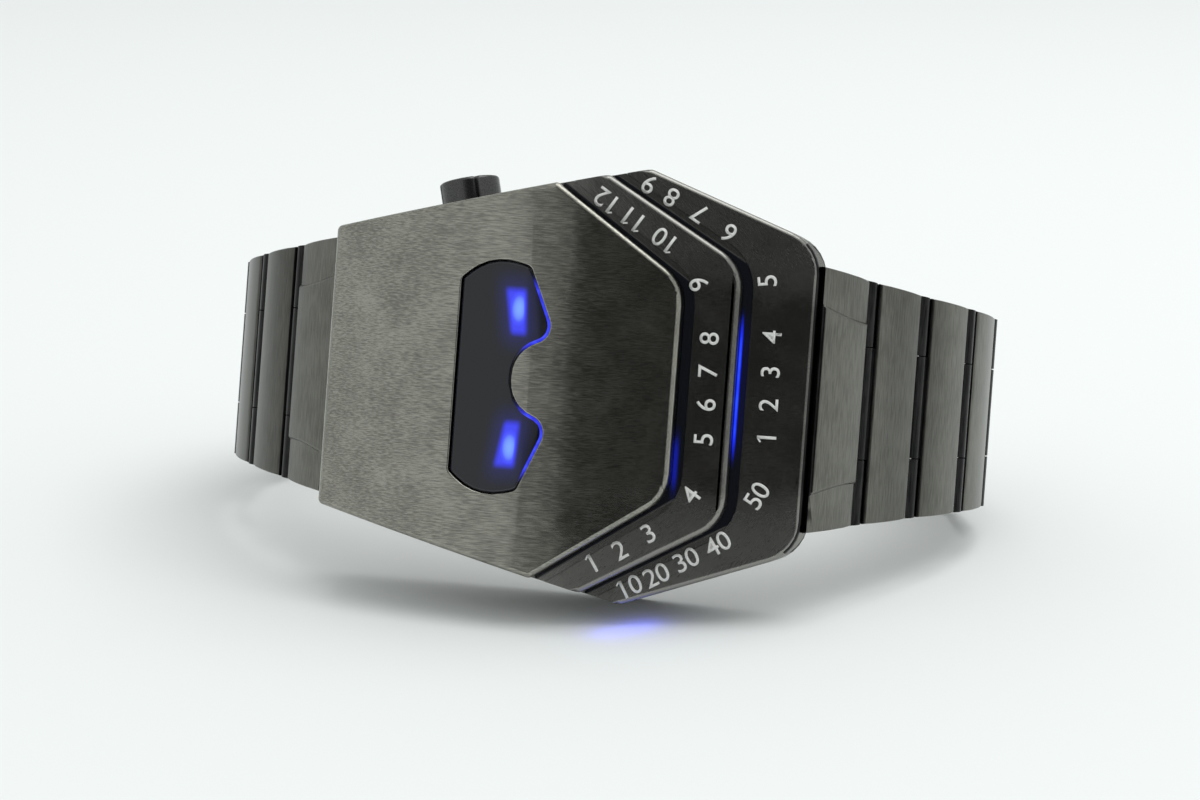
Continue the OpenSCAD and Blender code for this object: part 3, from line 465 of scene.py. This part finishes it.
def eased(node, materials, radius_of, second=None, strip=False, apex=None, above=EVERYWHERE):
    """A copy of the piece with rounded edges, in place of its plain solid. radius_of takes the middle of an
    outer edge, in millimetres on the watch, and the normals of its two faces, and gives a radius or 0.
    second says which faces take the second material, and strip gives it to the rounded edges. Flat faces
    are merged above one height only. Nearly flat edges that end beside apex, the place along the bracelet
    where a tier is widest, are dissolved, because a rounded edge would fold over them."""
    thing = bpy.data.objects.new(node + "_eased", frame["nodes"][node].data.copy())
    bpy.context.scene.collection.objects.link(thing)
    paint(thing, *materials)
    only(thing)
    bpy.ops.mesh.customdata_custom_splitnormals_clear()
    bpy.ops.object.mode_set(mode="EDIT")
    bpy.ops.mesh.select_all(action="SELECT")
    bpy.ops.mesh.remove_doubles(threshold=MERGE)
    mesh = bmesh.from_edit_mesh(thing.data)
    for vertex in mesh.verts:
        if (settle @ vertex.co).z < above * MM:
            vertex.select_set(False)
    mesh.select_flush_mode()
    bmesh.update_edit_mesh(thing.data)
    bpy.ops.mesh.dissolve_limited(angle_limit=FLAT)
    if apex is not None:
        bpy.ops.mesh.select_mode(type="EDGE")
        bpy.ops.mesh.select_all(action="DESELECT")
        mesh = bmesh.from_edit_mesh(thing.data)
        for edge in mesh.edges:
            ends = [settle @ v.co / MM for v in edge.verts]
            beside = min(abs(end.x - apex) for end in ends) < APEX_REACH
            if beside and edge.calc_face_angle(math.pi) < NEARLY_FLAT:
                edge.select_set(max(abs(end.z) for end in ends) < APEX_DEPTH)
        bmesh.update_edit_mesh(thing.data)
        bpy.ops.mesh.dissolve_edges(use_verts=False)
    mesh = bmesh.from_edit_mesh(thing.data)
    weight = mesh.edges.layers.float.new("bevel_weight_edge")
    turned = settle.to_3x3()
    widths = {}
    for edge in mesh.edges:
        if edge.is_convex and edge.calc_face_angle(0) > SHARP:
            middle = settle @ ((edge.verts[0].co + edge.verts[1].co) / 2) / MM
            radius = radius_of(middle, [turned @ face.normal for face in edge.link_faces])
            if radius:
                widths[edge] = radius
    widest = max(widths.values(), default=0)
    for edge, radius in widths.items():
        edge[weight] = radius / widest
    if second:
        for face in mesh.faces:
            spot = settle @ face.calc_center_median() / MM
            face.material_index = int(second(spot, turned @ face.normal))
    bmesh.update_edit_mesh(thing.data)
    bpy.ops.object.mode_set(mode="OBJECT")
    if widest:
        bpy.ops.object.modifier_add(type="BEVEL")
        ease = thing.modifiers[-1]
        ease.limit_method, ease.width, ease.segments = "WEIGHT", widest * MM, 3
        ease.use_clamp_overlap = False
        ease.miter_outer = "MITER_ARC"
        if strip:
            ease.material = 1
        bpy.ops.object.modifier_apply(modifier=ease.name)
    bpy.ops.object.shade_smooth_by_angle(angle=SMOOTH)
    bpy.ops.object.modifier_add(type="WEIGHTED_NORMAL")
    thing.modifiers[-1].keep_sharp = True
    bpy.ops.object.modifier_apply(modifier=thing.modifiers[-1].name)
    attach(thing, body_of[node])
    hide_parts(node)


RIM_REACH = 0.85                        # the round corners lie at most this far inside the plain outline
RIM_START = 0.2                         # the lower rims are rounded from this far left of an apex


def tier_rim(tier, drop, radius, start=EVERYWHERE, window=0.0):
    """The rim of a crowned face, right of start, and the edge of the window in it."""
    def wanted(spot, normals):
        if abs(spot.z - crown(spot.x, drop)) > ON_CROWN:
            return 0
        if inside(spot, tier) < RIM_REACH:
            return radius if spot.x > start else 0
        return window
    return wanted


eased("head_plate", [steel_head], tier_rim(HEAD, 0.0, 0.5, window=0.15), apex=HEAD[0])
eased("hour_plate", [steel_tier], tier_rim(HOUR, HOUR_DROP, 0.5, start=HOUR[0] - RIM_START), apex=HOUR[0])


END_DEPTH = 3.0                         # its wall lies within this distance of the right end


def end_wall_shade(spot, normal):
    """The wall under the right end of the deck, painted near black as painted shade."""
    return normal.x > FACING and abs(normal.z) < STEEP and spot.x > DECK[1] - END_DEPTH


eased("case_body", [steel_tier, painted_shade_steel], tier_rim(DECK, DECK_DROP, 0.45, start=DECK[0] - RIM_START),
      second=end_wall_shade, apex=DECK[0], above=-5.0)


LENS_DROP = 0.35                        # how far the lens lies below the head plate


def lens_rim_radius(spot, normals):
    """The edge of the lens, all round."""
    return 0.3 if abs(spot.z - crown(spot.x, LENS_DROP)) < ON_CROWN else 0


eased("eye_lens", [lens_finish, lens_rim], lens_rim_radius, strip=True)


cap_way = -Vector(joints["push_button_slide"]["axis"])
cap_points = [v.co for v in frame["nodes"]["push_button"].data.vertices]
cap_foot = sum(cap_points, Vector()) / len(cap_points)
cap_high = max((p - cap_foot).dot(cap_way) for p in cap_points)
CAP_FACE = 0.05 * MM                    # an edge this close to the cap's top is on its face


def button_rim(spot, normals):
    """The rim of the cap: the one far out along the button."""
    return 0.3 if (stand @ (spot * MM) - cap_foot).dot(cap_way) > cap_high - CAP_FACE else 0


eased("push_button", [steel_button], button_rim)

# The bracelet: rounded plates over knuckles painted near black as painted shade
END_LEAN = {"right": 58, "left": 40}    # degrees that the end links slope down
HINGES = 7                              # on each side
PLATE_EDGE, UNDERSIDE = 1.17, -1.1      # heights over the hinges, in millimetres
PLATE_ROUND, SIDE_ROUND, UNDER_ROUND = 0.3, 0.18, 0.1


def hinge_at(side, i):
    """The middle of a hinge pin, in millimetres on the watch."""
    low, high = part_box(f"pin_{side}_{i}")
    return settle @ ((low + high) / 2) / MM


def bracelet_link(side, i):
    """One link: its plate eased all round, and near-black steel below it as painted shade, but not at the
    sides and underside.
    """
    far = hinge_at(side, i)
    sign = 1 if side == "right" else -1
    if i:
        way = (far - hinge_at(side, i - 1)).normalized()
    else:
        slope = math.radians(END_LEAN[side])
        way = Vector((sign * math.cos(slope), 0, -math.sin(slope)))
    out = Vector((-way.z, 0, way.x)) * sign

    def height(spot):
        return (spot - far).dot(out)

    def plate_edge(spot, normals):
        if height(spot) > PLATE_EDGE:
            return PLATE_ROUND if all(abs(normal.y) < FACING for normal in normals) else SIDE_ROUND
        return UNDER_ROUND if height(spot) < UNDERSIDE else 0

    # Faces below the plate take the near-black steel: painted shade between the links
    def below(spot, normal):
        return height(spot) < PLATE_EDGE and abs(normal.y) < FACING and normal.dot(out) > -FACING

    name = f"end_link_{side}" if i == 0 else f"link_{side}_{i}"
    eased(name, [steel_band, painted_shade_steel], plate_edge, second=below)


for side in ("right", "left"):
    for i in range(HINGES):
        bracelet_link(side, i)


def long_edges(radius):
    """One radius for edges between faces that are square to the watch. Round ends stay as they are."""
    def wanted(spot, normals):
        return radius if all(max(abs(n.x), abs(n.y), abs(n.z)) > 0.99 for n in normals) else 0
    return wanted


eased("clasp_cover", [steel_band], long_edges(0.2))
eased("outer_blade", [steel_clasp], long_edges(0.1))
eased("inner_blade", [steel_clasp], long_edges(0.1))

# Numbers on the two lower tiers: text, place along and across the dial, and the angle it reads at
HOUR_NUMBERS = [
    ("1", 4.7, -17.15, 33), ("2", 7.3, -15.6, 33), ("3", 9.9, -13.8, 36), ("4", 13.6, -9.9, 58),
    ("5", 14.4, -4.5, 90), ("6", 14.4, -1.2, 90), ("7", 14.35, 2.0, 90), ("8", 14.25, 5.1, 90),
    ("9", 12.9, 10.2, 113), ("10", 9.4, 14.1, 147), ("11", 6.4, 15.8, 147), ("12", 3.6, 17.5, 147),
]
DECK_NUMBERS = [
    ("10", 8.25, -19.1, 30), ("20", 10.7, -17.8, 30), ("30", 13.4, -16.1, 31), ("40", 16.2, -14.4, 35),
    ("50", 19.5, -9.5, 61), ("1", 20.0, -4.1, 90), ("2", 19.95, -0.8, 90), ("3", 19.9, 2.35, 90),
    ("4", 19.8, 5.7, 90), ("5", 19.0, 11.0, 99), ("6", 15.1, 15.3, 146), ("7", 12.2, 17.0, 149),
    ("8", 9.5, 18.3, 150), ("9", 7.3, 19.4, 150),
]
NUMBER_H = 1.85                         # height of a figure, in millimetres
NUMBER_BOLD, LETTER_SPACE = 0.004, 0.96  # a little heavier and closer than the typeface
INK_PROUD, INK_T = 0.02, 0.05           # millimetres over the steel, and thickness
FLAG = (0.26, 0.085)                    # length and width of a one's flag, as shares of its height
FLAG_BACK, FLAG_DOWN = 0.28, 0.42       # where its middle is, as shares of its length
FLAG_TURN = math.radians(38)
ONE_WIDTH = 0.25                        # more than the width of a one's stem, as a share of its height


def flagged(word, ones):
    """The word with a flag on each of its ones, which come first in it."""
    places = sorted({round(v.co.x, 4) for v in word.data.vertices})
    tall = max(v.co.y for v in word.data.vertices)
    length, width = FLAG[0] * tall, FLAG[1] * tall
    left = places[0]
    for _ in range(ones):
        spot = (left - length * FLAG_BACK, tall - length * FLAG_DOWN, 0)
        bpy.ops.object.select_all(action="DESELECT")
        bpy.ops.mesh.primitive_plane_add(size=1, location=spot, rotation=(0, 0, FLAG_TURN))
        flag = bpy.context.object
        flag.scale = (length, width, 1)
        bpy.ops.object.transform_apply(location=True, rotation=True, scale=True)
        word.select_set(True)
        bpy.context.view_layer.objects.active = word
        bpy.ops.object.join()
        left = min((x for x in places if x > left + ONE_WIDTH * tall), default=left)
    return word


def number(text, x, y, angle, drop):
    """One number, laid on the crowned face that lies drop below the head plate's."""
    bpy.ops.object.select_all(action="DESELECT")
    bpy.ops.object.text_add()
    word = bpy.context.object
    word.data.body, word.data.offset, word.data.space_character = text, NUMBER_BOLD, LETTER_SPACE
    bpy.ops.object.convert(target="MESH")
    word = flagged(bpy.context.object, len(text) - len(text.lstrip("1")))
    lows, highs = [[pick(v.co[axis] for v in word.data.vertices) for axis in (0, 1)] for pick in (min, max)]
    middle = Vector(((lows[0] + highs[0]) / 2, (lows[1] + highs[1]) / 2, 0))
    slope = math.asin((x - CREST) / CROWN_R)
    scale = NUMBER_H * MM / (highs[1] - lows[1])
    spot = Matrix.Translation(Vector((x, y, crown(x, drop) + INK_PROUD)) * MM)
    turn = Matrix.Rotation(slope, 4, "Y") @ Matrix.Rotation(math.radians(angle), 4, "Z")
    word.data.transform(stand @ spot @ turn @ Matrix.Scale(scale, 4) @ Matrix.Translation(-middle))
    return word


words = [number(*line, HOUR_DROP) for line in HOUR_NUMBERS]
words += [number(*line, DECK_DROP) for line in DECK_NUMBERS]
bpy.ops.object.select_all(action="DESELECT")
for word in words:
    word.select_set(True)
bpy.context.view_layer.objects.active = words[0]
bpy.ops.object.join()
numbers = bpy.context.object
numbers.name = "numbers"
bpy.ops.object.modifier_add(type="SOLIDIFY")
layer = numbers.modifiers[-1]
layer.thickness, layer.offset = INK_T * MM, -1
bpy.ops.object.modifier_apply(modifier=layer.name)
paint(numbers, ink)
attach(numbers, "case")

# Floor, light and camera
bpy.ops.object.select_all(action="DESELECT")
bpy.ops.mesh.primitive_plane_add(size=6, location=(0, 0, 0))
floor = bpy.context.object
floor.name = "floor"
paper = Finish("floor", Base_Color=(0.85, 0.873, 0.87, 1), Roughness=0.8, Specular_IOR_Level=0.0)
paint(floor, paper.material)

scene = bpy.context.scene
scene.view_settings.view_transform = "Standard"
WATCH_MIDDLE = at(0, 0, -12)
CEILING, CEILING_SIZE, CEILING_POWER = Vector((0.22, 0.1, 0.9)), (0.8, 0.8), 4.4
# The light that the guides throw on the table, from just outside the deck where its lower side is widest
GUIDE_FOOT = at(8.0, -21.3, -3.6)
GUIDE_WAY = Vector((0.002, -0.002, -0.01))
GUIDE_SIZE, GUIDE_POWER, GUIDE_BLUE = (0.007, 0.0008), 0.00008, (0.05, 0.08, 1.0)


def area_light(name, spot, target, size, power, colour=(1, 1, 1)):
    """A soft rectangular light aimed at a point."""
    light = bpy.data.lights.new(name, "AREA")
    light.shape, light.size, light.size_y = "RECTANGLE", size[0], size[1]
    light.energy, light.color = power, colour
    thing = bpy.data.objects.new(name, light)
    scene.collection.objects.link(thing)
    thing.location = spot
    thing.rotation_euler = (Vector(target) - Vector(spot)).to_track_quat("-Z", "Y").to_euler()
    return thing


area_light("ceiling_softbox", CEILING, WATCH_MIDDLE, CEILING_SIZE, CEILING_POWER)
glow = area_light("guide_glow", GUIDE_FOOT, GUIDE_FOOT + GUIDE_WAY, GUIDE_SIZE, GUIDE_POWER, GUIDE_BLUE)
glow.visible_camera = glow.visible_glossy = False

# The room: bright all round, with a dark place in front of the dial
DARK_AT, DARK_FROM, DARK_TO = math.radians(18), 0.86, 0.892
ROOM_BRIGHT, ROOM_DARK = 0.76, 0.06
world = bpy.data.worlds.new("room")
scene.world = world
world.use_nodes = True
tree = world.node_tree
sky = tree.nodes["Background"]
sky.inputs["Color"].default_value = (0.97, 1.0, 0.99, 1)
facing = tree.nodes.new("ShaderNodeVectorMath")
facing.operation = "DOT_PRODUCT"
facing.inputs[1].default_value = stand.to_3x3() @ Vector((math.sin(DARK_AT), 0, math.cos(DARK_AT)))
fade = tree.nodes.new("ShaderNodeMapRange")
fade.interpolation_type = "SMOOTHSTEP"
tree.links.new(tree.nodes.new("ShaderNodeTexCoord").outputs["Generated"], facing.inputs[0])
tree.links.new(facing.outputs["Value"], fade.inputs["Value"])
tree.links.new(fade.outputs[0], sky.inputs["Strength"])
ends = {"From Min": DARK_FROM, "From Max": DARK_TO, "To Min": ROOM_BRIGHT, "To Max": ROOM_DARK}
for key, value in ends.items():
    fade.inputs[key].default_value = value

# The camera, in the axes of the watch: its place in millimetres, where it looks, and its upward direction
EYE, SIGHT, UPWARD = (60.88, 0.25, 236.86), (-0.2301, -0.0071, -0.9732), (-0.073, 0.9973, 0.010)
SENSOR, LENS = 36, 77.235
camera = bpy.data.cameras.new("camera")
camera.sensor_width, camera.lens, camera.clip_start = SENSOR, LENS, 0.01
holder = bpy.data.objects.new("camera", camera)
scene.collection.objects.link(holder)
sight = (stand.to_3x3() @ Vector(SIGHT)).normalized()
right = sight.cross(stand.to_3x3() @ Vector(UPWARD)).normalized()
up = right.cross(sight)
turn = Matrix((right, up, -sight)).transposed().to_4x4()
holder.matrix_world = Matrix.Translation(at(*EYE)) @ turn
scene.camera = holder
